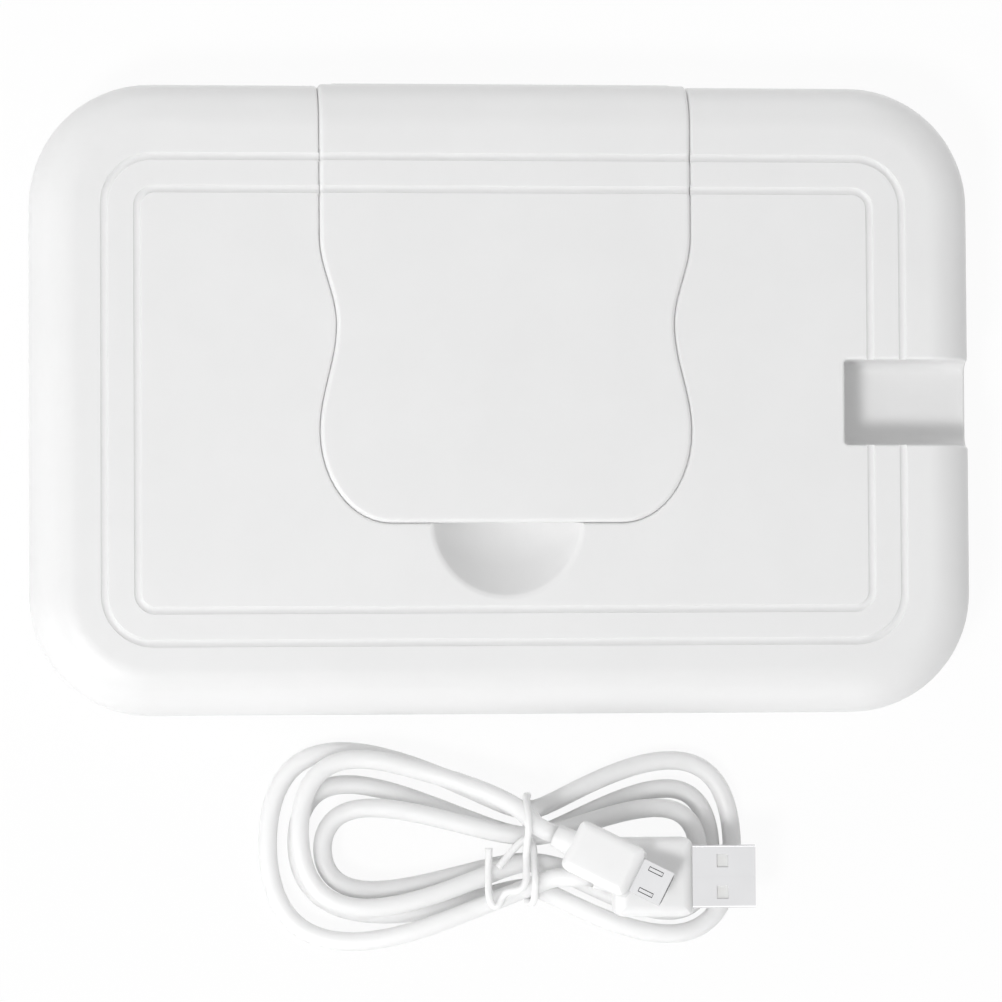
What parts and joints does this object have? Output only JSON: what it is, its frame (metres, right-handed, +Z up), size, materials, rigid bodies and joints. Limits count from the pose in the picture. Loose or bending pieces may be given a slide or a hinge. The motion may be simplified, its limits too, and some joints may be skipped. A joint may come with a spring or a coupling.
{
  "type": "wipe warmer",
  "caption": "Low rectangular housing with a hinged lid over a wipe mouth, a heating plate inside the base, a USB bay in one side, and a hanked USB cable lying in front.",
  "frame": {"origin": "on the table plane, under the centre of the housing's footprint", "axes": "+X along the long side towards the USB bay, +Y towards the hinge, +Z up"},
  "size_m": [0.18, 0.1657, 0.0245],
  "materials": {
    "white_case": "satin white",
    "seal_silicone": "matt translucent silicone",
    "rod_steel": "drawn",
    "plate_aluminium": "rolled",
    "heater_amber": "smooth film",
    "foil_metal": "etched foil",
    "pad_foam": "soft felt",
    "bead_glass": "smooth",
    "fuse_case": "ceramic",
    "lead_red": "satin",
    "lead_black": "satin",
    "board_green": "solder resist",
    "chip_black": "moulded",
    "shell_steel": "bright plated",
    "screw_steel": "zinc plated",
    "foot_silicone": "matt",
    "cord_white": "satin",
    "tie_white": "satin",
    "plug_white": "satin",
    "insulator_white": "smooth",
    "insulator_black": "smooth",
    "contact_gold": "gold plated"
  },
  "bodies": {
    "case": {"upper_case": "white_case", "hinge_rod": "rod_steel", "base_frame": "white_case", "mouth_bezel": "white_case", "heat_plate": "plate_aluminium", "heater_film": "heater_amber", "heater_trace": "foil_metal", "insulation_pad": "pad_foam", "thermistor": "bead_glass", "thermal_cutoff": "fuse_case", "heater_leads": "lead_red", "sensor_leads": "lead_black", "control_board": "board_green", "board_chips": "chip_black", "usb_socket": "shell_steel", "board_screws": "screw_steel", "case_screws": "screw_steel", "foot_pads": "foot_silicone"},
    "lid": {"lid": "white_case", "lid_seal": "seal_silicone"},
    "cable": {"usb_cord": "cord_white", "cord_tie": "tie_white", "usb_a_moulding": "plug_white", "usb_a_shell": "shell_steel", "usb_a_insulator": "insulator_white", "usb_a_contacts": "contact_gold", "micro_moulding": "plug_white", "micro_shell": "shell_steel", "micro_insulator": "insulator_black", "micro_latches": "shell_steel"}
  },
  "joints": [
    {"name": "lid_hinge", "type": "hinge", "parent": "case", "child": "lid", "pos_m": [0, 0.0579, 0.011], "axis": [-1, 0, 0], "range_deg": [0, 100]},
    {"name": "cable_lift", "type": "slide", "parent": "case", "child": "cable", "axis": [0, 0, 1], "range_m": [0, 0.08]}
  ]
}
